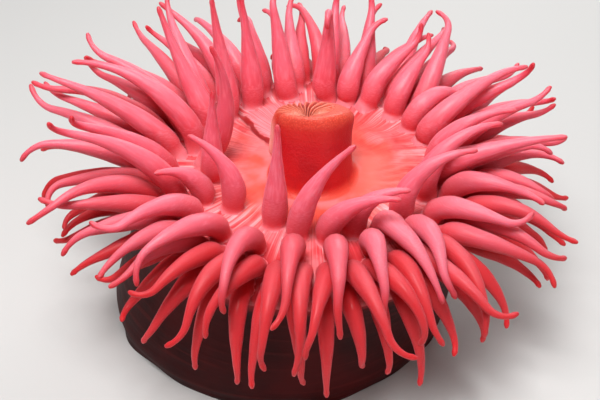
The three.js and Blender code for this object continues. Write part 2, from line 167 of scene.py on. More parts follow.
# %% Cycles and the inner poses
CYCLES = [
    {"count": 24, "offset": 0, "root": 44.5, "radius": 4.3},
    {"count": 24, "offset": 7.5, "root": 51.5, "radius": 4.1},
    {"count": 48, "offset": 3.75, "root": 58.4, "radius": 3.65},
    {"count": 48, "offset": 1.9, "root": 64.6, "radius": 3.3},
]
STRAIGHT = {"shift": 0, "inset": 0, "turn": 0, "sweep": 0, "flick": 0, "hook": 0}
INNER_POSES = [
    {"shift": -4, "rise": 85, "fall": 0, "turn": 4, "length": 41},
    {"shift": 4, "rise": 52, "fall": 0, "length": 53},
    {"shift": 2, "rise": 82, "fall": -80, "length": 36},
    {"rise": 62, "fall": 24, "flick": 40, "hook": 60, "length": 36},
    {"shift": 1, "inset": 1, "rise": 54, "fall": 28, "turn": -30, "flick": 70, "length": 40},
    {"shift": -3, "rise": 62, "fall": 42, "turn": -18, "flick": -20, "hook": -60, "length": 38},
    {"shift": -8, "rise": 88, "fall": 90, "flick": 230, "length": 47},
    {"shift": -3, "rise": 74, "fall": 70, "turn": 20, "flick": -50, "hook": -95, "length": 46},
    {"shift": 2, "rise": 80, "fall": 82, "turn": -30, "sweep": 60, "length": 45},
    {"shift": 3, "rise": 74, "fall": 84, "turn": -50, "sweep": 80, "length": 48},
    {"shift": 1, "inset": -1, "rise": 60, "fall": 66, "turn": -10, "length": 50},
    {"shift": 3, "rise": 78, "fall": -8, "length": 61},
    {"inset": 5, "rise": 55, "fall": 115, "turn": -165, "length": 50},
    {"shift": -3, "inset": 7, "rise": 88, "fall": 86, "turn": -160, "length": 35},
    {"shift": -2, "rise": 85, "fall": 5, "turn": 5, "length": 27},
    {"shift": -3, "inset": 6, "rise": 74, "fall": 160, "turn": 125, "length": 34},
    {"shift": 9, "inset": 6, "rise": 86, "fall": 89, "turn": 130, "length": 40},
    {"shift": 7, "inset": 2, "rise": 86, "fall": 40, "turn": 100, "length": 42},
    {"shift": 6, "inset": 1, "rise": 80, "fall": 5, "turn": 65, "length": 36},
    {"shift": 3, "inset": 3, "rise": 90, "fall": 0, "turn": 68, "length": 29},
    {"inset": -1, "rise": 30, "fall": -50, "length": 46},
    {"shift": -2, "rise": 98, "fall": 0, "turn": 52, "length": 41},
    {"shift": 5, "rise": 96, "fall": -8, "turn": 40, "length": 43},
    {"shift": 2, "rise": 44, "fall": 10, "turn": 4, "length": 53},
]

# %% Habit of the outer cycles
OUTER_HABIT = {
    "rise": {"middle": (52, 38, 10), "back": (16, 10, 8), "left": (8, 6, 4), "front": (12, 8, -16),
             "front_right": (-30, -12, 0)},
    "fall": {"middle": (-5, -30, -60), "back": (45, 30, 15), "left": (12, 10, 25), "front": (-75, -58, -34),
             "corner": (0, 10, 30), "front_right": (14, 6, 0), "right": (0, 14, 36)},
    "length": {"middle": (50, 47, 41), "back": (-6, -7, -6), "left": (7, 6, -2), "front": (-3, -3, -6),
               "corner": (0, -2, -8), "right": (-5, -8, -11)},
}
SIDES_OF_BODY = {"back": (90, 100), "left": (170, 90), "corner": (216, 45), "front": (275, 100),
                 "front_right": (312, 42), "right": (0, 80)}
SCATTER = {"rise": 10, "fall": 18, "turn": 12, "sweep": 28, "flick": 60, "hook": 90, "length": 0.12}
OUTER_FLICK = 12


def habit(trait, cycle, azimuth):
    value = OUTER_HABIT[trait]["middle"][cycle - 1]
    for side, (centre, width) in SIDES_OF_BODY.items():
        amounts = OUTER_HABIT[trait].get(side, (0, 0, 0))
        value += amounts[cycle - 1] * nearness(azimuth, centre, width)
    return value


def outer_pose(cycle, number, azimuth):
    return {
        "rise": habit("rise", cycle, azimuth) + SCATTER["rise"] * scatter(number, 1),
        "fall": habit("fall", cycle, azimuth) + SCATTER["fall"] * scatter(number, 2),
        "turn": SCATTER["turn"] * scatter(number, 3),
        "sweep": SCATTER["sweep"] * scatter(number, 4),
        "flick": SCATTER["flick"] * scatter(number, 5) + OUTER_FLICK,
        "hook": SCATTER["hook"] * scatter(number, 6),
        "length": habit("length", cycle, azimuth) * (1 + SCATTER["length"] * scatter(number, 7)),
    }


poses = []
for cycle, layout in enumerate(CYCLES):
    for index in range(layout["count"]):
        azimuth = layout["offset"] + 360 / layout["count"] * index
        own = INNER_POSES[index] if cycle == 0 else outer_pose(cycle, len(poses), azimuth)
        pose = {**STRAIGHT, **own, "radius": layout["radius"], "cycle": cycle}
        pose["azimuth"] = azimuth + pose["shift"]
        pose["root"] = layout["root"] - pose["inset"]
        poses.append(pose)
print("tentacles:", len(poses))

# %% Centrelines and radii
TIP_START = 0.76
SWELL = 0.35
SWELL_PACE = 1.4


def centreline(pose):
    start = math.radians(pose["azimuth"])
    root = pose["root"]
    foot = np.array([root * math.cos(start), root * math.sin(start), surface_height(root)])
    along = (np.arange(CURVE_STEPS) + 0.5) / CURVE_STEPS
    tipward = np.maximum(0, (along - TIP_START) / (1 - TIP_START))
    elevation = pose["rise"] + (pose["fall"] - pose["rise"]) * along + pose["flick"] * tipward
    heading = start + np.radians(pose["turn"] + pose["sweep"] * along + pose["hook"] * tipward)
    level = np.cos(np.radians(elevation))
    up = np.sin(np.radians(elevation))
    steps = np.stack([level * np.cos(heading), level * np.sin(heading), up], -1)
    walked = np.cumsum(steps, 0) * pose["length"] / CURVE_STEPS
    return lean(foot) + np.vstack([np.zeros(3), walked])


def radius_along(radius, along):
    """Full over the first quarter, then a long taper to a blunt tip."""
    swell = 1 + SWELL * np.sin(np.pi * np.minimum(1, SWELL_PACE * along))
    return TIP_RADIUS + (radius - TIP_RADIUS) * (1 - along) * swell


lines = np.array([centreline(pose) for pose in poses])
radii = np.array([radius_along(pose["radius"], np.linspace(0, 1, CURVE_STEPS + 1)) for pose in poses])
lengths = np.array([pose["length"] for pose in poses])
print("longest tentacle, mm:", lengths.max())

# %% [markdown]
# ## Making room
# So many tentacles would pass through each other. Real ones push each other aside, so the lines
# are treated as strings of beads: in each round every pair of beads that is too close is pushed
# apart, the beads are kept off the body and the floor, and each string is smoothed and drawn back
# to its own length. A physics simulation could do this too, but this one is short, needs no
# baking, and gives the same answer each time.

# %% Push crowded tentacles apart
CLEARANCE = 0.9
RELAX_ROUNDS = 80
PAIR_REACH = 14
PAIR_REFRESH = 8
FLOOR_CLEARANCE = 5
BODY_CLEARANCE = 1
FIXED_BEADS = 2


def nearby_pairs(beads, owner):
    square = (beads * beads).sum(1)
    apart = square[:, None] + square[None, :] - 2 * beads @ beads.T
    near = (apart < PAIR_REACH ** 2) & (owner[:, None] != owner[None, :])
    return np.nonzero(np.triu(near))


def push_apart(beads, reach, pairs):
    first, second = pairs
    between = beads[first] - beads[second]
    distance = np.linalg.norm(between, axis=1) + 1e-9
    overlap = np.maximum(0, reach[first] + reach[second] + CLEARANCE - distance)
    move = between * (0.5 * overlap / distance)[:, None]
    push = np.zeros_like(beads)
    np.add.at(push, first, move)
    np.add.at(push, second, -move)
    touches = np.bincount(first, overlap > 0, len(beads)) + np.bincount(second, overlap > 0, len(beads))
    return push / np.maximum(1, touches / 2)[:, None]


def keep_clear(beads, radius):
    """Moves beads out of the column and up from the floor."""
    axis = DISC_SHIFT * smoothstep(beads[:, 2] / DISC_HEIGHT)
    distance = np.hypot(beads[:, 0] - axis, beads[:, 1])
    limit = body_radius(beads[:, 2]) + radius + BODY_CLEARANCE
    inside = (beads[:, 2] < RIM_EDGE + BODY_CLEARANCE) & (distance < limit)
    scale = np.where(inside, limit / distance, 1)
    height = np.maximum(beads[:, 2], radius + FLOOR_CLEARANCE)
    return np.stack([axis + (beads[:, 0] - axis) * scale, beads[:, 1] * scale, height], -1)


def settle(strings, home, step):
    """Smooths how far each bead has moved, then restores each string's length."""
    moved = strings - home
    smooth = moved.copy()
    neighbours = moved[:, FIXED_BEADS - 1:-2] + moved[:, FIXED_BEADS + 1:]
    smooth[:, FIXED_BEADS:-1] = 0.5 * moved[:, FIXED_BEADS:-1] + 0.25 * neighbours
    smooth[:, -1] = 0.5 * (moved[:, -1] + moved[:, -2])
    strings = home + smooth
    for i in range(1, strings.shape[1]):
        link = strings[:, i] - strings[:, i - 1]
        link *= (step / np.linalg.norm(link, axis=1))[:, None]
        strings[:, i] = strings[:, i - 1] + link
    return strings


# %% Relax the crown
def relax(strings):
    count, beads_each, _ = strings.shape
    home = strings.copy()
    step = lengths / CURVE_STEPS
    owner = np.repeat(np.arange(count), beads_each)
    reach = np.hypot(radii, step[:, None] / 2).ravel()
    free = np.tile(np.arange(beads_each) >= FIXED_BEADS, count)
    for round_number in range(RELAX_ROUNDS):
        beads = strings.reshape(-1, 3)
        if round_number % PAIR_REFRESH == 0:
            pairs = nearby_pairs(beads, owner)
        beads = beads + push_apart(beads, reach, pairs) * free[:, None]
        beads = np.where(free[:, None], keep_clear(beads, radii.ravel()), beads)
        strings = settle(beads.reshape(strings.shape), home, step)
    return strings


lines = relax(lines)
print("crown spans, mm:", np.round(np.ptp(lines.reshape(-1, 3), axis=0), 1))

# %% [markdown]
# ## One tentacle
# A tentacle is a round tube that swells near its root and tapers to a small knob. It could be a
# curve with a bevel, but a curve gives no control over the ring spacing. Instead one blank tube
# is extruded ring by ring from a circle, and every tentacle is a copy of it whose rings are moved
# onto its own line. The rings stand closer together near the tip, where the line bends most.

# %% The blank tube
SIDES = 12
RINGS = 34
CAP_TURNS = (0.5, 0.85)
CAP_RINGS = len(CAP_TURNS)


def layer_uv(bm, name, place):
    """Lays a UV map: place gives (round, along) of a vertex, and faces that close the ring are mended."""
    layer = bm.loops.layers.uv.new(name)
    for face in bm.faces:
        spots = [place(loop.vert.co) for loop in face.loops]
        widest = max(spot[0] for spot in spots)
        for loop, (around, along) in zip(face.loops, spots):
            loop[layer].uv = (around + 1 if widest - around > 0.5 else around, along)


def turn_fraction(co):
    return math.atan2(co.y, co.x) / math.tau % 1


def tube_blank():
    bm = bmesh.new()
    bmesh.ops.create_circle(bm, cap_ends=True, segments=SIDES, radius=1)
    edges = list(bm.edges)
    for _ in range(RINGS + CAP_RINGS):
        grown = bmesh.ops.extrude_edge_only(bm, edges=edges)["geom"]
        ring = [part for part in grown if isinstance(part, bmesh.types.BMVert)]
        edges = [part for part in grown if isinstance(part, bmesh.types.BMEdge)
                 and all(vert in ring for vert in part.verts)]
        bmesh.ops.translate(bm, verts=ring, vec=(0, 0, 1))
    tip = bmesh.ops.extrude_edge_only(bm, edges=edges)["geom"]
    tip = [part for part in tip if isinstance(part, bmesh.types.BMVert)]
    bmesh.ops.pointmerge(bm, verts=tip, merge_co=(0, 0, RINGS + CAP_RINGS + 1))
    bmesh.ops.recalc_face_normals(bm, faces=bm.faces)
    layer_uv(bm, "lie", lambda co: (turn_fraction(co), co.z / RINGS))
    blank = bpy.data.meshes.new("tentacle_blank")
    bm.to_mesh(blank)
    bm.free()
    return blank


blank = tube_blank()
print("blank tube:", len(blank.vertices), "vertices")

# %% Frames along a line
TIP_CROWDING = 1.3
STATIONS = 1 - (1 - np.linspace(0, 1, RINGS)) ** TIP_CROWDING
KNOB_PLACE = 0.972
KNOB_WIDTH = 0.02
KNOB_HEIGHT = 0.22
SWELLINGS = ((0.030, 9, 11), (0.016, 27, 12))
ROOT_NECK = 0.96
STEEP = 0.9


def smooth_points(points, along):
    """Points on a smooth curve through the beads of a line."""
    place = along * (len(points) - 1)
    i = np.minimum(place.astype(int), len(points) - 2)
    t = (place - i)[:, None]
    before, after = points[np.maximum(i - 1, 0)], points[np.minimum(i + 2, len(points) - 1)]
    here, there = points[i], points[i + 1]
    return 0.5 * (2 * here + (there - before) * t + (2 * before - 5 * here + 4 * there - after) * t ** 2
                  + (3 * here - before - 3 * there + after) * t ** 3)


def frames(points):
    """Forward, side and across directions that don't twist along the line."""
    forward = np.gradient(points, axis=0)
    forward /= np.linalg.norm(forward, axis=1)[:, None]
    side = np.array([1.0, 0, 0]) if abs(forward[0, 2]) > STEEP else np.array([0, 0, 1.0])
    sides = []
    for direction in forward:
        side = side - side @ direction * direction
        side = side / np.linalg.norm(side)
        sides.append(side)
    sides = np.array(sides)
    return forward, sides, np.cross(forward, sides)


def tentacle_radii(number, radius):
    """The taper with a knob at the tip and a few soft swellings of the tentacle's own."""
    uneven = 1
    for size, pace, trait in SWELLINGS:
        uneven = uneven + size * np.sin(pace * STATIONS + 6 * scatter(number, trait))
    return radius_along(radius, STATIONS) * uneven + KNOB_HEIGHT * bell(STATIONS, KNOB_PLACE, KNOB_WIDTH)


def tentacle_rings(number, pose, line):
    """Centre, radius and directions of every ring of the blank, from the sunk root to the tip."""
    points = smooth_points(line, STATIONS)
    forward, side, across = frames(points)
    radius = tentacle_radii(number, pose["radius"])
    turn = np.array(CAP_TURNS) * math.pi / 2
    centres = np.vstack([points[0] - ROOT_DEPTH * forward[0], points,
                         points[-1] + radius[-1] * np.sin(turn)[:, None] * forward[-1],
                         points[-1] + radius[-1] * forward[-1]])
    radius = np.concatenate([[radius[0] * ROOT_NECK], radius, radius[-1] * np.cos(turn), [0]])
    ahead = [0] + list(range(RINGS)) + [RINGS - 1] * (CAP_RINGS + 1)
    return centres, radius, side[ahead], across[ahead]


# %% Bend the blank onto every line
CYCLE_TONE = (0.5, 0.2, -0.3, -0.8)
# The three LOW sizes paint shade: tentacle points below the height are deepened towards red as painted shade
# on the hanging parts.
LOW_HEIGHT = 73.0
LOW_DEPTH = 34.0
LOW_SHADE = 2.2
FRONT_TONE = 0.9
FRONT_SIDE = (272, 80)
OWN_TONE = 0.4
TONE_TRAIT = 21
blank_co = np.array([vert.co for vert in blank.vertices])
ring_of = np.rint(blank_co[:, 2]).astype(int)


def bend_blank(number, pose, line):
    """The blank's points on this tentacle, and how far each faces up, from -1 to 1."""
    centres, radius, side, across = tentacle_rings(number, pose, line)
    bent = centres[ring_of]
    bent += side[ring_of] * (blank_co[:, 0] * radius[ring_of])[:, None]
    bent += across[ring_of] * (blank_co[:, 1] * radius[ring_of])[:, None]
    upside = side[ring_of, 2] * blank_co[:, 0] + across[ring_of, 2] * blank_co[:, 1]
    return bent, upside


def set_attribute(mesh, name, values):
    layer = mesh.attributes.new(name, "FLOAT", "POINT")
    layer.data.foreach_set("value", np.ascontiguousarray(values, dtype=np.float32))


def all_tentacles():
    bm = bmesh.new()
    for number, (pose, line) in enumerate(zip(poses, lines)):
        mesh = blank.copy()
        bent, upside = bend_blank(number, pose, line)
        mesh.vertices.foreach_set("co", bent.ravel())
        # Painted shade: the lower a point hangs, the more its tone is deepened; the outer cycles are also
        # deepened over the front.
        low = LOW_SHADE * falling(bent[:, 2], LOW_HEIGHT, LOW_DEPTH)
        if pose["cycle"]:
            low += FRONT_TONE * nearness(pose["azimuth"], *FRONT_SIDE)
        # How far a side faces up drives painted light on the tentacles' tops and painted shade on their
        # flanks.
        set_attribute(mesh, "upside", upside)
        set_attribute(mesh, "along", np.clip((ring_of - 1) / (RINGS - 1), 0, 1))
        set_attribute(mesh, "tone", CYCLE_TONE[pose["cycle"]] + OWN_TONE * scatter(number, TONE_TRAIT) - low)
        bm.from_mesh(mesh)
        bpy.data.meshes.remove(mesh)
    joined = bpy.data.meshes.new("tentacles")
    bm.to_mesh(joined)
    bm.free()
    return joined


tentacle_mesh = all_tentacles()
print("tentacle skin:", len(tentacle_mesh.vertices), "vertices")

# %% [markdown]
# ## The body
# Column, rim, disc and mouth are nearly round, so their outline is drawn once and spun about the
# upright axis. A spun body looks machined, though. So its points are then moved by formulas: soft
# lumps and creases on the column, furrows over the tissue walls under the disc, and pleats that
# close the mouth. Last of all the whole body is leaned.

# %% Outline of the body
def arc(centre, width, height, start, stop, count):
    """Points on part of an ellipse, as [radius, height] pairs."""
    angle = np.radians(np.linspace(start, stop, count))
    return np.stack([centre[0] + width * np.cos(angle), centre[1] + height * np.sin(angle)], -1)


def straight(start, stop, count):
    return np.linspace(start, stop, count + 1)[:-1]


MOUTH_TOP = DISC_HEIGHT + MOUTH_HEIGHT
FILLET = 2.6
SHOULDER = (5.0, 4.0)
NEAR_AXIS = 0.001
OUTLINE_STEPS = {"foot": 8, "column": 40, "rim": 18, "disc": 24,
                 "fillet": 5, "wall": 16, "shoulder": 12, "top": 26}


def body_outline():
    heights = straight(0, RIM_EDGE, OUTLINE_STEPS["column"])
    foot = straight((NEAR_AXIS, 0), (FOOT_RADIUS - 1, 0), OUTLINE_STEPS["foot"])
    column = np.stack([body_radius(heights), heights], -1)
    rim = arc((FLAT_RADIUS, RIM_EDGE), RIM_RADIUS - FLAT_RADIUS, RIM_DROP, 0, 90, OUTLINE_STEPS["rim"])[:-1]
    fillet_edge = MOUTH_RADIUS + FILLET
    disc = straight((FLAT_RADIUS, DISC_HEIGHT), (fillet_edge, DISC_HEIGHT), OUTLINE_STEPS["disc"])
    fillet = arc((fillet_edge, DISC_HEIGHT + FILLET), FILLET, FILLET, 270, 180, OUTLINE_STEPS["fillet"])[:-1]
    top_edge = MOUTH_TOP - SHOULDER[1]
    wall = straight((MOUTH_RADIUS, DISC_HEIGHT + FILLET), (MOUTH_RADIUS, top_edge), OUTLINE_STEPS["wall"])
    shoulder_edge = MOUTH_RADIUS - SHOULDER[0]
    shoulder = arc((shoulder_edge, top_edge), *SHOULDER, 0, 90, OUTLINE_STEPS["shoulder"])[:-1]
    top = straight((shoulder_edge, MOUTH_TOP), (NEAR_AXIS, MOUTH_TOP), OUTLINE_STEPS["top"])
    centre = [[NEAR_AXIS, MOUTH_TOP]]
    return np.vstack([foot, column, rim, disc, fillet, wall, shoulder, top, centre])


outline = body_outline()
print("outline points:", len(outline))

# %% Spin the outline
SPIN_STEPS = 240
MERGE_DISTANCE = 0.01


def spun_body():
    bm = bmesh.new()
    verts = [bm.verts.new((radius, 0, height)) for radius, height in outline]
    edges = [bm.edges.new(pair) for pair in zip(verts[:-1], verts[1:])]
    bmesh.ops.spin(bm, geom=verts + edges, cent=(0, 0, 0), axis=(0, 0, 1), dvec=(0, 0, 0),
                   angle=math.tau, steps=SPIN_STEPS, use_merge=True, use_duplicate=False)
    bmesh.ops.remove_doubles(bm, verts=bm.verts, dist=MERGE_DISTANCE)
    bmesh.ops.recalc_face_normals(bm, faces=bm.faces)
    layer_uv(bm, "lie", lambda co: (turn_fraction(co), math.hypot(co.x, co.y) / RIM_RADIUS))
    mesh = bpy.data.meshes.new("body")
    bm.to_mesh(mesh)
    bm.free()
    return mesh


body_mesh = spun_body()
print("spun body:", len(body_mesh.vertices), "vertices")

# %% Shape the body
LOBE_START, LOBE_EDGE, LOBE_REACH = 84, 132, 44  # degrees, degrees, mm
LOBE_HEIGHT = 1.2
DOME_HEIGHT = 1.2
LOBE_CREASE_DEPTH, LOBE_CREASE_WIDTH = 0.7, 1.6  # mm, degrees
LOBE_CREASE_WOBBLE = ((0.5, 1.7, 0), (0.4, 3.1, 0))
COLUMN_CREASE_DEPTH, COLUMN_CREASE_PACE = 0.28, 1.9
COLUMN_CREASE_WANDER = ((1.4, 2, 1), (0.8, 5, 0), (0.4, 11, 0))
FOOT_WAVES = ((0.8, 9, 0), (0.5, 14, 1))
FOOT_WAVE_HEIGHT = 3
FURROWS, FURROW_DEPTH = 48, 0.34
WALLS, WALL_DEPTH = 24, 0.30
FLAP_TURN = 187  # degrees
GROOVE_DEPTH = 1.3
MOUTH_WAIST = 1.0
PLEATS, PLEAT_DEPTH = 26, 2.6
PLEAT_REACH, PLEAT_BIAS, PLEAT_SIDE = 11.5, 4.5, 2.3  # mm, mm, radians
OPENING_PLACE = (-2.0, -6.0)
OPENING_DEPTH, OPENING_WIDTH = 3.6, 2.6
TOP_DEPTH = 4


def angle_bell(turn, centre, width):
    """A bell round a direction, both in degrees."""
    away = (np.degrees(turn) - centre + 180) % 360 - 180
    return bell(away, 0, width)


def ripples(place, waves):
    """A sum of waves, each given by its size, its pace and where it starts."""
    return sum(size * np.sin(pace * place + start) for size, pace, start in waves)


def hollows(turn, count, start=0):
    """Rounded hollows round the axis, from 0 to 1."""
    return 0.5 - 0.5 * np.cos(count * turn + start)


def column_relief(turn, height):
    """Soft lumps, creases round the column and a wavy edge to the foot."""
    lumps = 0.7 * np.sin(3 * turn + 0.6) * np.sin(height / 17) + 0.4 * np.sin(5 * turn + 2 + height / 14)
    wander = ripples(turn, COLUMN_CREASE_WANDER)
    creases = -COLUMN_CREASE_DEPTH * np.maximum(0, np.sin(height * COLUMN_CREASE_PACE + wander)) ** 6
    creases *= 0.5 + 0.5 * np.sin(2 * turn + 0.4 + height / 20)
    waves = ripples(turn, FOOT_WAVES) * np.exp(-height / FOOT_WAVE_HEIGHT)
    return lumps * rising(height, 0, 15) + creases * rising(height, 0, 8) + waves


def lobe_mask(turn, distance):
    """1 on the raised lobe of the disc behind the mouth, with a sharp edge on its left."""
    degrees = np.degrees(turn) % 360
    sides = falling(degrees, LOBE_EDGE, 2) * rising(degrees, LOBE_START, 14)
    return sides * falling(distance, LOBE_REACH, 5)


def crease_mask(turn, distance):
    """1 in the crease that runs along the lobe's edge."""
    wander = ripples(distance, LOBE_CREASE_WOBBLE)
    along_edge = angle_bell(turn + np.radians(wander), LOBE_EDGE + 1, LOBE_CREASE_WIDTH)
    return along_edge * bell(distance, 30, 11) ** 0.4


def disc_relief(turn, distance):
    """Furrows over the walls inside, slow swells, and the raised lobe with its crease."""
    outer = rising(distance, 20, 22) * falling(distance, 66, 6)
    furrows = -FURROW_DEPTH * outer * hollows(turn, FURROWS) ** 2
    broad = -WALL_DEPTH * outer * hollows(turn, WALLS, 1) ** 3
    swell = 0.6 * np.sin(3 * turn + 1) + 0.35 * np.sin(7 * turn + distance / 5)
    folds = 1.3 * np.sin(distance / 2.6 + 3 * turn) * angle_bell(turn, 42, 24) * bell(distance, 31, 9)
    uneven = furrows + broad + swell * rising(distance, 15, 20) + folds
    dome = DOME_HEIGHT * falling(distance, 34, 20)
    lobe = LOBE_HEIGHT * lobe_mask(turn, distance) - LOBE_CREASE_DEPTH * crease_mask(turn, distance)
    return uneven * falling(distance, 60, 6) + dome + lobe


def flap_mask(turn, up):
    """1 on the pale flap that runs down the mouth's left side."""
    return angle_bell(turn, FLAP_TURN, 5) * falling(up, 0.95, 0.2) * rising(up, 0.2, 0.25)


def pleats(turn, distance):
    """Valleys and ridges, from 0 to 1, that gather at the opening and run furthest to the back left."""
    twist = PLEATS / 2 * (turn + 0.06 * np.sin(3 * turn) + 0.015 * distance) + 0.6 * np.sin(2 * turn + 1)
    limit = PLEAT_REACH + PLEAT_BIAS * np.cos(turn - PLEAT_SIDE)
    reach = rising(distance, 0.3, 1.2) * falling(distance, limit, 4)
    fold = np.abs(np.sin(twist))
    return np.array([(1 - fold) ** 1.3 * reach, fold ** 3 * reach])


def mouth_relief(turn, distance, height):
    """Outward and upright movement of the mouth: a waist, a groove and its flap, and pleats."""
    up = (height - DISC_HEIGHT) / MOUTH_HEIGHT
    waist = -MOUTH_WAIST * np.sin(np.pi * np.clip(up, 0, 1)) + 0.3 * bell(up, 0.84, 0.14)
    wobble = 0.35 * np.sin(2 * turn + 1) + 0.25 * np.sin(5 * turn + 2 * up)
    groove = -GROOVE_DEPTH * angle_bell(turn, FLAP_TURN + 14, 8)
    flap = (1.2 + 1.8 * falling(up, 0.9, 0.5)) * flap_mask(turn, up)
    opening = -OPENING_DEPTH * bell(distance, 0, OPENING_WIDTH)
    top = smoothstep((height - MOUTH_TOP + TOP_DEPTH) / 3)
    return waist + wobble + groove + flap, top * (opening - PLEAT_DEPTH * pleats(turn, distance)[0])


def lean_back(y, height, share):
    """Tips the mouth back about the middle of its base, more the higher a point stands."""
    above = np.maximum(0, height - DISC_HEIGHT)
    angle = math.radians(MOUTH_LEAN) * smoothstep(above / MOUTH_HEIGHT) * share
    tipped = DISC_HEIGHT - y * np.sin(angle) + above * np.cos(angle)
    return y * np.cos(angle) + above * np.sin(angle), np.where(above > 0, tipped, height)


def shaped_body(co):
    distance = np.hypot(co[:, 0], co[:, 1])
    turn = np.arctan2(co[:, 1], co[:, 0])
    height = co[:, 2].copy()
    upper = height > DISC_HEIGHT - 5
    on_mouth = falling(distance, MOUTH_RADIUS + FILLET + 1, 2) * upper
    on_disc = rising(height, RIM_EDGE, 6) * (1 - on_mouth)
    on_column = falling(height, RIM_EDGE + 2, 8) * (distance > FOOT_RADIUS - 4)
    outward, lift = mouth_relief(turn, distance, height)
    wide = distance + on_column * column_relief(turn, height)
    wide += on_mouth * outward * smoothstep(distance / MOUTH_RADIUS)
    height += on_disc * disc_relief(turn, distance) + on_mouth * (lift + DOME_HEIGHT)
    x, y = wide * np.cos(turn), wide * np.sin(turn)
    towards = on_mouth * (1 - np.clip(distance / MOUTH_RADIUS, 0, 1) ** 2)
    x += OPENING_PLACE[0] * towards
    y += OPENING_PLACE[1] * towards
    y, height = lean_back(y, height, on_mouth)
    y -= MOUTH_FORWARD * falling(distance, FLAT_RADIUS, 28) * upper
    up = (co[:, 2] - DISC_HEIGHT) / MOUTH_HEIGHT
    # The pleat masks also colour the mouth: painted shade in the valleys, painted highlights on the ridges.
    valley, ridge = pleats(turn, distance) * (co[:, 2] > MOUTH_TOP - TOP_DEPTH)
    masks = {
        "mouth": on_mouth,
        # The climb is lowered at the opening, so the pit takes the darker red of the wall as painted shade.
        "climb": np.clip(up, 0, 1) - 0.4 * bell(distance, 0, 1.6) * on_mouth,
        "pale": np.maximum(lobe_mask(turn, distance) * on_disc, flap_mask(turn, up) * on_mouth),
        # The crease along the lobe's edge joins the valleys as painted shade.
        "valley": np.maximum(0.4 * crease_mask(turn, distance) * on_disc, valley),
        "ridge": ridge,
    }
    return lean(np.stack([x, y, height], -1)), masks


body_co = np.array([vert.co for vert in body_mesh.vertices])
shaped, masks = shaped_body(body_co)
body_mesh.vertices.foreach_set("co", shaped.ravel())
for name, mask in masks.items():
    set_attribute(body_mesh, name, mask)
print("body spans, mm:", np.round(np.ptp(shaped, axis=0), 1))

# %% [markdown]
# ## One skin
# The body and the tentacles are two closed meshes that pass into each other. A boolean union keeps
# only the outside, so the flesh is one closed surface. A union leaves knife-sharp joints, and real
# tentacles rise out of the disc with a soft crease. The points by the joints are therefore found
# by their two finishes meeting there, and a few rounds of smoothing round them off.

# %% Join body and tentacles
BODY, TENTACLE, COLUMN = 0, 1, 2
CREASE_ROUNDS = 4
COLUMN_TOP = 47.0
WELD_DISTANCE = 0.03
EVERY_WAY = {"use_axis_x": True, "use_axis_y": True, "use_axis_z": True}


def new_object(name, mesh):
    made = bpy.data.objects.new(name, mesh)
    bpy.context.scene.collection.objects.link(made)
    return made


def union(first, second):
    joined = new_object("joined", first)
    other = new_object("other", second)
    join = joined.modifiers.new("join", "BOOLEAN")
    join.operation, join.solver, join.object = "UNION", "MANIFOLD", other
    whole = joined.evaluated_get(bpy.context.evaluated_depsgraph_get())
    mesh = bpy.data.meshes.new_from_object(whole)
    for spare in (joined, other):
        bpy.data.objects.remove(spare)
    return mesh


def soften_creases(mesh):
    bm = bmesh.new()
    bm.from_mesh(mesh)
    bmesh.ops.remove_doubles(bm, verts=bm.verts, dist=WELD_DISTANCE)
    near = {vert for vert in bm.verts
            if len({face.material_index == TENTACLE for face in vert.link_faces}) > 1}
    for _ in range(CREASE_ROUNDS):
        bmesh.ops.smooth_vert(bm, verts=list(near), factor=0.5, **EVERY_WAY)
        near |= {edge.other_vert(vert) for vert in near for edge in vert.link_edges}
    bmesh.ops.scale(bm, verts=bm.verts, vec=(MM, MM, MM))
    bm.to_mesh(mesh)
    bm.free()
    mesh.shade_smooth()


def named_material(name):
    return bpy.data.materials.get(name) or bpy.data.materials.new(name)


def give_slots(mesh, finish_of):
    for placeholder in ("body", "tentacle", "column"):
        mesh.materials.append(named_material(placeholder))
    for face in mesh.polygons:
        face.material_index = finish_of(face)


give_slots(tentacle_mesh, lambda face: TENTACLE)
give_slots(body_mesh, lambda face: COLUMN if face.center.z < COLUMN_TOP else BODY)
skin_mesh = union(body_mesh, tentacle_mesh)
soften_creases(skin_mesh)
skin = new_object("anemone_skin", skin_mesh)
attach(skin, "root")
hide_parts(*frame["nodes"])
print("skin faces:", len(skin_mesh.polygons))

# %% [markdown]
# ## Writing materials as sums
# A shader is a chain of small nodes, and wiring sums by hand hides what they mean. The class below
# wraps a node's output, so that a mask can be written as 1 - near * far and adds its own Math
# nodes. Any other node is made by its one method, from a type, settings and inputs.

# %% Fields and materials
class Field:
    """A value that changes over a surface: one output of a node, with sums that add Math nodes."""

    def __init__(self, tree, socket=None):
        self.tree, self.socket = tree, socket

    def node(self, kind, settings=None, inputs=None, output=0):
        made = self.tree.nodes.new("ShaderNode" + kind)
        for name, value in (settings or {}).items():
            if name == "stops":
                self.set_stops(made.color_ramp.elements, value)
            else:
                setattr(made, name, value)
        for name, value in (inputs or {}).items():
            if isinstance(value, Field):
                self.tree.links.new(value.socket, made.inputs[name])
            else:
                made.inputs[name].default_value = value
        return Field(self.tree, made.outputs[output])

    @staticmethod
    def set_stops(elements, stops):
        while len(elements) < len(stops):
            elements.new(1)
        for element, (place, colour) in zip(elements, stops):
            element.position, element.color = place, colour

    def math(self, operation, other=0.0, swapped=False):
        pair = (other, self) if swapped else (self, other)
        return self.node("Math", {"operation": operation}, dict(enumerate(pair)))

    def __add__(self, other):
        return self.math("ADD", other)

    def __mul__(self, other):
        return self.math("MULTIPLY", other)

    def __sub__(self, other):
        return self.math("SUBTRACT", other)

    def __rsub__(self, other):
        return self.math("SUBTRACT", other, swapped=True)

    __radd__ = __add__
    __rmul__ = __mul__


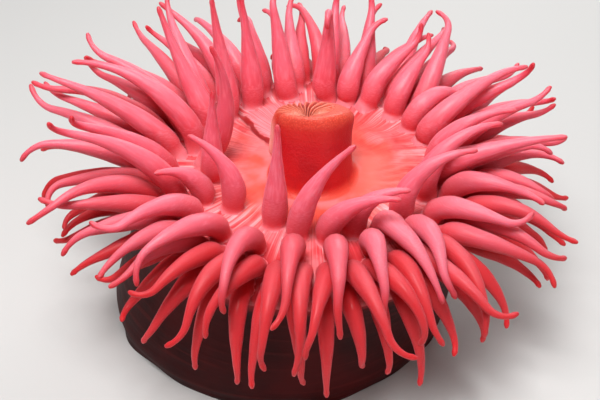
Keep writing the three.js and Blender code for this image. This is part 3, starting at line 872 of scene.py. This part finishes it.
def srgb(red, green, blue):
    """A screen colour from 0 to 255 as the linear colour that shaders use."""
    return tuple((channel / 255) ** 2.2 for channel in (red, green, blue)) + (1.0,)


def between(field, low, high):
    """0 below low, 1 above high and smooth between them."""
    return field.node("MapRange", {"interpolation_type": "SMOOTHSTEP"},
                      {"Value": field, "From Min": low, "From Max": high})


MIX_FACTOR, MIX_FIRST, MIX_SECOND, MIX_COLOUR = 0, 6, 7, 2


def mixed(factor, first, second):
    """The first colour where the factor is 0, the second where it is 1."""
    inputs = {MIX_FACTOR: factor, MIX_FIRST: first, MIX_SECOND: second}
    return factor.node("Mix", {"data_type": "RGBA"}, inputs, MIX_COLOUR)


def noise(start, vector, scale, detail=2.0):
    return start.node("TexNoise", {}, {"Vector": vector, "Scale": scale, "Detail": detail})


def attribute(start, name):
    return start.node("Attribute", {"attribute_name": name}, {}, "Fac")


def material(name, finish, constants):
    """finish gives base colour, roughness and height in mm. constants go on the shader's sockets."""
    made = named_material(name)
    made.use_nodes = True
    tree = made.node_tree
    shader = tree.nodes["Principled BSDF"]
    for socket, value in constants.items():
        shader.inputs[socket].default_value = value
    colour, roughness, height = finish(Field(tree))
    bump = height.node("Bump", {}, {"Height": height, "Distance": MM, "Strength": 1.0})
    for socket, field in (("Base Color", colour), ("Roughness", roughness), ("Normal", bump)):
        tree.links.new(field.socket, shader.inputs[socket])
    return made


# %% [markdown]
# ## The flesh
# The tentacles are a translucent rose. Light enters the flesh and glows out of it, which is
# subsurface scattering, and the wet skin adds a thin coat and a soft pale sheen on turned edges.
# Colour follows each tentacle's length and its place in the crown, through the attributes made with
# the tube, and painted light and shade are laid on the same way: the side that faces up is paler as
# painted light, the flanks and the low, hanging parts deeper red as painted shade. Disc and mouth share
# one finish, which turns from orange-pink rays to red through the masks laid on the body's points, with
# painted shade in the pleat valleys, the opening and the lobe's crease and painted highlights on the
# pleat ridges. The column has a finish of its own.

# %% Tentacle flesh
ROSE_STOPS = [
    (0.00, srgb(240, 132, 142)), (0.06, srgb(228, 72, 84)), (0.28, srgb(234, 100, 120)),
    (0.70, srgb(235, 98, 120)), (0.92, srgb(226, 64, 84)), (1.00, srgb(200, 34, 50)),
]


def tentacle_finish(start):
    here = start.node("TexCoord", {}, {}, "Object")
    along, tone = attribute(start, "along"), attribute(start, "tone")
    lie = start.node("UVMap", {"uv_map": "lie"})
    round_angle = start.node("SeparateXYZ", {}, {"Vector": lie}, "X") * math.tau
    around = {"X": round_angle.math("COSINE"), "Y": round_angle.math("SINE"), "Z": along * 3.0 + tone * 40.0}
    barrel = start.node("CombineXYZ", {}, around)
    rose = along.node("ValToRGB", {"stops": ROSE_STOPS}, {"Fac": along})
    # Deep red where the tone is low: each tentacle's own tone together with painted shade on the hanging
    # parts.
    deep_and_shaded = mixed(between(0.0 - tone, 0.0, 1.5) * 0.9, rose, srgb(208, 16, 24))
    streaks = noise(start, barrel, 3.2, 3.0)
    pale = between(streaks + 0.10 * tone, 0.46, 0.74)
    upside = attribute(start, "upside")
    # Painted shade: flanks and undersides, which face away from the light above, are mixed towards darker
    # red.
    painted_flank_shade = mixed(between(0.4 - upside, 0.0, 1.2) * 0.5, deep_and_shaded, srgb(206, 28, 38))
    # Painted light: the side that faces up is mixed towards a paler pink.
    painted_top_light = mixed(between(upside + 0.2 * tone, 0.2, 1.0) * 0.28, painted_flank_shade, srgb(250, 154, 168))
    colour = mixed(pale * 0.40, painted_top_light, srgb(246, 140, 158))
    cloud = noise(start, here, 160.0, 3.0)
    stretched = start.node("Mapping", {}, {"Vector": barrel, "Scale": (1.0, 1.0, 22.0)})
    wrinkles = noise(start, stretched, 1.2, 2.0)
    grain = noise(start, here, 1400.0, 2.0)
    roughness = 0.40 + 0.18 * cloud
    return colour, roughness, 0.12 * wrinkles + 0.10 * streaks + 0.06 * grain


# %% Skin of disc and mouth
DISC_STOPS = [
    (0.22, srgb(222, 66, 50)), (0.32, srgb(230, 86, 70)), (0.48, srgb(232, 90, 80)),
    (0.62, srgb(230, 88, 94)), (0.72, srgb(222, 66, 76)), (0.84, srgb(196, 34, 44)),
    (1.00, srgb(172, 20, 30)),
]
MOUTH_STOPS = [
    (0.00, srgb(226, 74, 54)), (0.12, srgb(204, 32, 36)), (0.60, srgb(190, 20, 30)),
    (0.80, srgb(206, 42, 40)), (0.90, srgb(222, 80, 60)), (1.00, srgb(232, 100, 78)),
]


def disc_colour(start, here, lie, pale):
    """Orange by the mouth and rosier outwards, with fine lines and whitish stripes near the rim."""
    turn = start.node("SeparateXYZ", {}, {"Vector": lie}, "X")
    distance = start.node("SeparateXYZ", {}, {"Vector": lie}, "Y")
    ground = distance.node("ValToRGB", {"stops": DISC_STOPS}, {"Fac": distance})
    flat = start.node("VectorMath", {"operation": "MULTIPLY"}, {0: here, 1: (1.0, 1.0, 0.0)})
    middle = (DISC_SHIFT * MM, 0.0, 0.0)
    outward = start.node("VectorMath", {"operation": "SUBTRACT"}, {0: flat, 1: middle})
    direction = start.node("VectorMath", {"operation": "NORMALIZE"}, {0: outward})
    patches = noise(start, here, 55.0, 3.0)
    blush = mixed(between(patches, 0.44, 0.62) * 0.7, ground, srgb(244, 136, 142))
    mottle = between(noise(start, here, 150.0, 4.0), 0.50, 0.64)
    mottled = mixed(mottle * between(distance, 0.30, 0.50) * 0.55, blush, srgb(206, 44, 50))
    forward = 1 - between(start.node("SeparateXYZ", {}, {"Vector": here}, "Y"), -0.03, -0.005)
    stripes = between(noise(start, direction, 26.0, 2.0), 0.46, 0.64)
    reach = between(distance + 0.12 * patches + 0.10 * forward, 0.52, 0.70)
    strength = reach * (1 - between(distance, 0.72, 0.86)) * 0.6
    striped = mixed(stripes * strength, mottled, srgb(250, 200, 205))
    lobed = mixed(pale * 0.7, striped, srgb(244, 150, 160))
    lines = between(noise(start, direction, 84.0, 1.0), 0.50, 0.60)
    lined = mixed(lines * between(distance, 0.28, 0.50) * 0.5, lobed, srgb(200, 40, 50))
    # Painted shadow: a dark line along the lobe's raised edge, in the crease it shades.
    wander = (noise(start, here, 90.0, 2.0) - 0.5) * 0.03
    aside = (turn + wander - (LOBE_EDGE - 0.5) / 360).math("ABSOLUTE")
    edge = (1 - between(aside, 0.0025, 0.0055)) * between(distance, 0.22, 0.28)
    return mixed(edge * (1 - between(distance, 0.58, 0.66)) * 0.9, lined, srgb(158, 14, 20))


def mouth_colour(start, here, climb, pale):
    ramp = climb.node("ValToRGB", {"stops": MOUTH_STOPS}, {"Fac": climb})
    shade = between(noise(start, here, 75.0, 2.0), 0.50, 0.72)
    cloudy = mixed(shade * 0.35 * (1 - between(climb, 0.75, 0.9)), ramp, srgb(140, 22, 32))
    grains = start.node("TexVoronoi", {}, {"Vector": here, "Scale": 1500.0}, "Distance")
    grainy = mixed(between(grains, 0.2, 0.6) * between(climb, 0.6, 0.95) * 0.45, cloudy, srgb(184, 34, 28))
    return mixed(pale * 0.8, grainy, srgb(244, 170, 160)), grains


def body_finish(start):
    here = start.node("TexCoord", {}, {}, "Object")
    lie = start.node("UVMap", {"uv_map": "lie"})
    on_mouth, climb = attribute(start, "mouth"), attribute(start, "climb")
    pale, valley = attribute(start, "pale"), attribute(start, "valley")
    red, grains = mouth_colour(start, here, climb, pale)
    upper = mixed(between(on_mouth, 0.3, 0.9), disc_colour(start, here, lie, pale), red)
    # Painted highlights on the pleat ridges.
    ridge_highlighted = mixed(attribute(start, "ridge") * 0.32, upper, srgb(252, 168, 144))
    # Painted shade in the pleat valleys and in the lobe's crease.
    colour = mixed(valley * 0.9, ridge_highlighted, srgb(112, 8, 14))
    cloud = noise(start, here, 220.0, 3.0)
    roughness = 0.40 + 0.2 * cloud
    return colour, roughness, 0.10 * cloud + 0.14 * grains * on_mouth


# %% Skin of the column
def column_finish(start):
    here = start.node("TexCoord", {}, {}, "Object")
    height = start.node("SeparateXYZ", {}, {"Vector": here}, "Z")
    cloud = noise(start, here, 45.0, 4.0)
    ground = mixed(between(cloud, 0.35, 0.70), srgb(52, 12, 14), srgb(76, 17, 19))
    creased = start.node("Mapping", {}, {"Vector": here, "Scale": (18.0, 18.0, 420.0)})
    lines = noise(start, creased, 1.0, 3.0)
    lined = mixed(between(lines, 0.52, 0.70) * 0.3, ground, srgb(106, 34, 34))
    colour = mixed(between(height, 0.040, 0.048), lined, srgb(150, 34, 40))
    return colour, 0.50 + 0.2 * cloud, 0.20 * lines + 0.08 * noise(start, here, 500.0)


flesh = {
    "Subsurface Weight": 0.6, "Subsurface Radius": (1.0, 0.30, 0.24), "Subsurface Scale": 0.0035,
    "Coat Weight": 0.12, "Coat Roughness": 0.25, "Specular IOR Level": 0.4,
    "Sheen Weight": 0.3, "Sheen Roughness": 0.4, "Sheen Tint": srgb(255, 160, 176),
}
disc_flesh = {**flesh, "Subsurface Scale": 0.006, "Sheen Weight": 0.05}
hide = {"Subsurface Weight": 0.15, "Subsurface Radius": (1.0, 0.3, 0.2), "Subsurface Scale": 0.002,
        "Specular IOR Level": 0.15}
material("body", body_finish, disc_flesh)
material("tentacle", tentacle_finish, flesh)
material("column", column_finish, hide)
print("materials:", [slot.name for slot in skin_mesh.materials])

# %% [markdown]
# ## Floor, light and camera
# The animal stands on a plain pale floor. A broad soft key light stands above and a little in
# front, with a weaker fill at the front right and a rim light behind. The camera looks down at the
# disc from the front. Its place is worked out from the disc's centre, the distance and the
# elevation, so that the centre falls on a chosen pixel of the picture.

# %% Floor
FLOOR_SIZE = 12.0


def floor_finish(start):
    here = start.node("TexCoord", {}, {}, "Object")
    cloud = noise(start, here, 3.0, 3.0)
    colour = mixed(cloud, srgb(200, 200, 199), srgb(210, 209, 207))
    return colour, 0.7 + 0.1 * cloud, 0.05 * noise(start, here, 300.0)


bm = bmesh.new()
bmesh.ops.create_grid(bm, x_segments=1, y_segments=1, size=FLOOR_SIZE / 2)
floor_mesh = bpy.data.meshes.new("floor")
bm.to_mesh(floor_mesh)
bm.free()
floor_mesh.materials.append(material("pale_floor", floor_finish, {}))
floor = new_object("floor", floor_mesh)
print("floor side, m:", FLOOR_SIZE)

# %% Lights
LIGHTS = {
    "key": {"place": (-0.10, -0.26, 0.85), "size": 0.4, "power": 8.8},
    "fill": {"place": (0.55, -0.75, 0.40), "size": 0.7, "power": 0.9},
    "rim": {"place": (0.20, 0.65, 0.45), "size": 0.4, "power": 2.2},
}
AIM = Vector((0.0125, 0.0, 0.055))
WORLD_COLOUR = (1.0, 0.95, 0.92, 1.0)
WORLD_STRENGTH = 0.18


def soft_light(name, place, size, power):
    lamp = bpy.data.lights.new(name, "AREA")
    lamp.shape, lamp.size, lamp.energy = "DISK", size, power
    made = new_object(name, lamp)
    made.location = place
    made.rotation_euler = (AIM - Vector(place)).to_track_quat("-Z", "Y").to_euler()


for name, settings in LIGHTS.items():
    soft_light(name, **settings)
world = bpy.data.worlds.new("studio")
world.use_nodes = True
world.node_tree.nodes["Background"].inputs["Color"].default_value = WORLD_COLOUR
world.node_tree.nodes["Background"].inputs["Strength"].default_value = WORLD_STRENGTH
bpy.context.scene.world = world
bpy.context.scene.view_settings.view_transform = "Standard"
print("lights:", list(LIGHTS))

# %% Camera
IMAGE_SIZE = (600, 400)
LENS, SENSOR = 70.0, 36.0
CAMERA_DISTANCE = 430.0
CAMERA_ELEVATION = 36.0
DISC_PIXEL = (313.0, 163.5)


def place_camera():
    tilt = math.radians(CAMERA_ELEVATION)
    back = Vector((0, -math.cos(tilt), math.sin(tilt)))
    up = Vector((0, math.sin(tilt), math.cos(tilt)))
    mm_per_pixel = CAMERA_DISTANCE / (IMAGE_SIZE[0] * LENS / SENSOR)
    sideways = (IMAGE_SIZE[0] / 2 - DISC_PIXEL[0]) * mm_per_pixel
    upwards = (DISC_PIXEL[1] - IMAGE_SIZE[1] / 2) * mm_per_pixel
    disc = Vector((DISC_SHIFT, 0, DISC_HEIGHT))
    place = disc + back * CAMERA_DISTANCE + Vector((sideways, 0, 0)) + up * upwards
    lens = bpy.data.cameras.new("camera")
    lens.lens, lens.sensor_width, lens.clip_start = LENS, SENSOR, 0.01
    made = new_object("camera", lens)
    made.location = place * MM
    made.rotation_euler = (math.pi / 2 - tilt, 0, 0)
    bpy.context.scene.camera = made
    return made


print("camera height, m:", round(place_camera().location.z, 3))
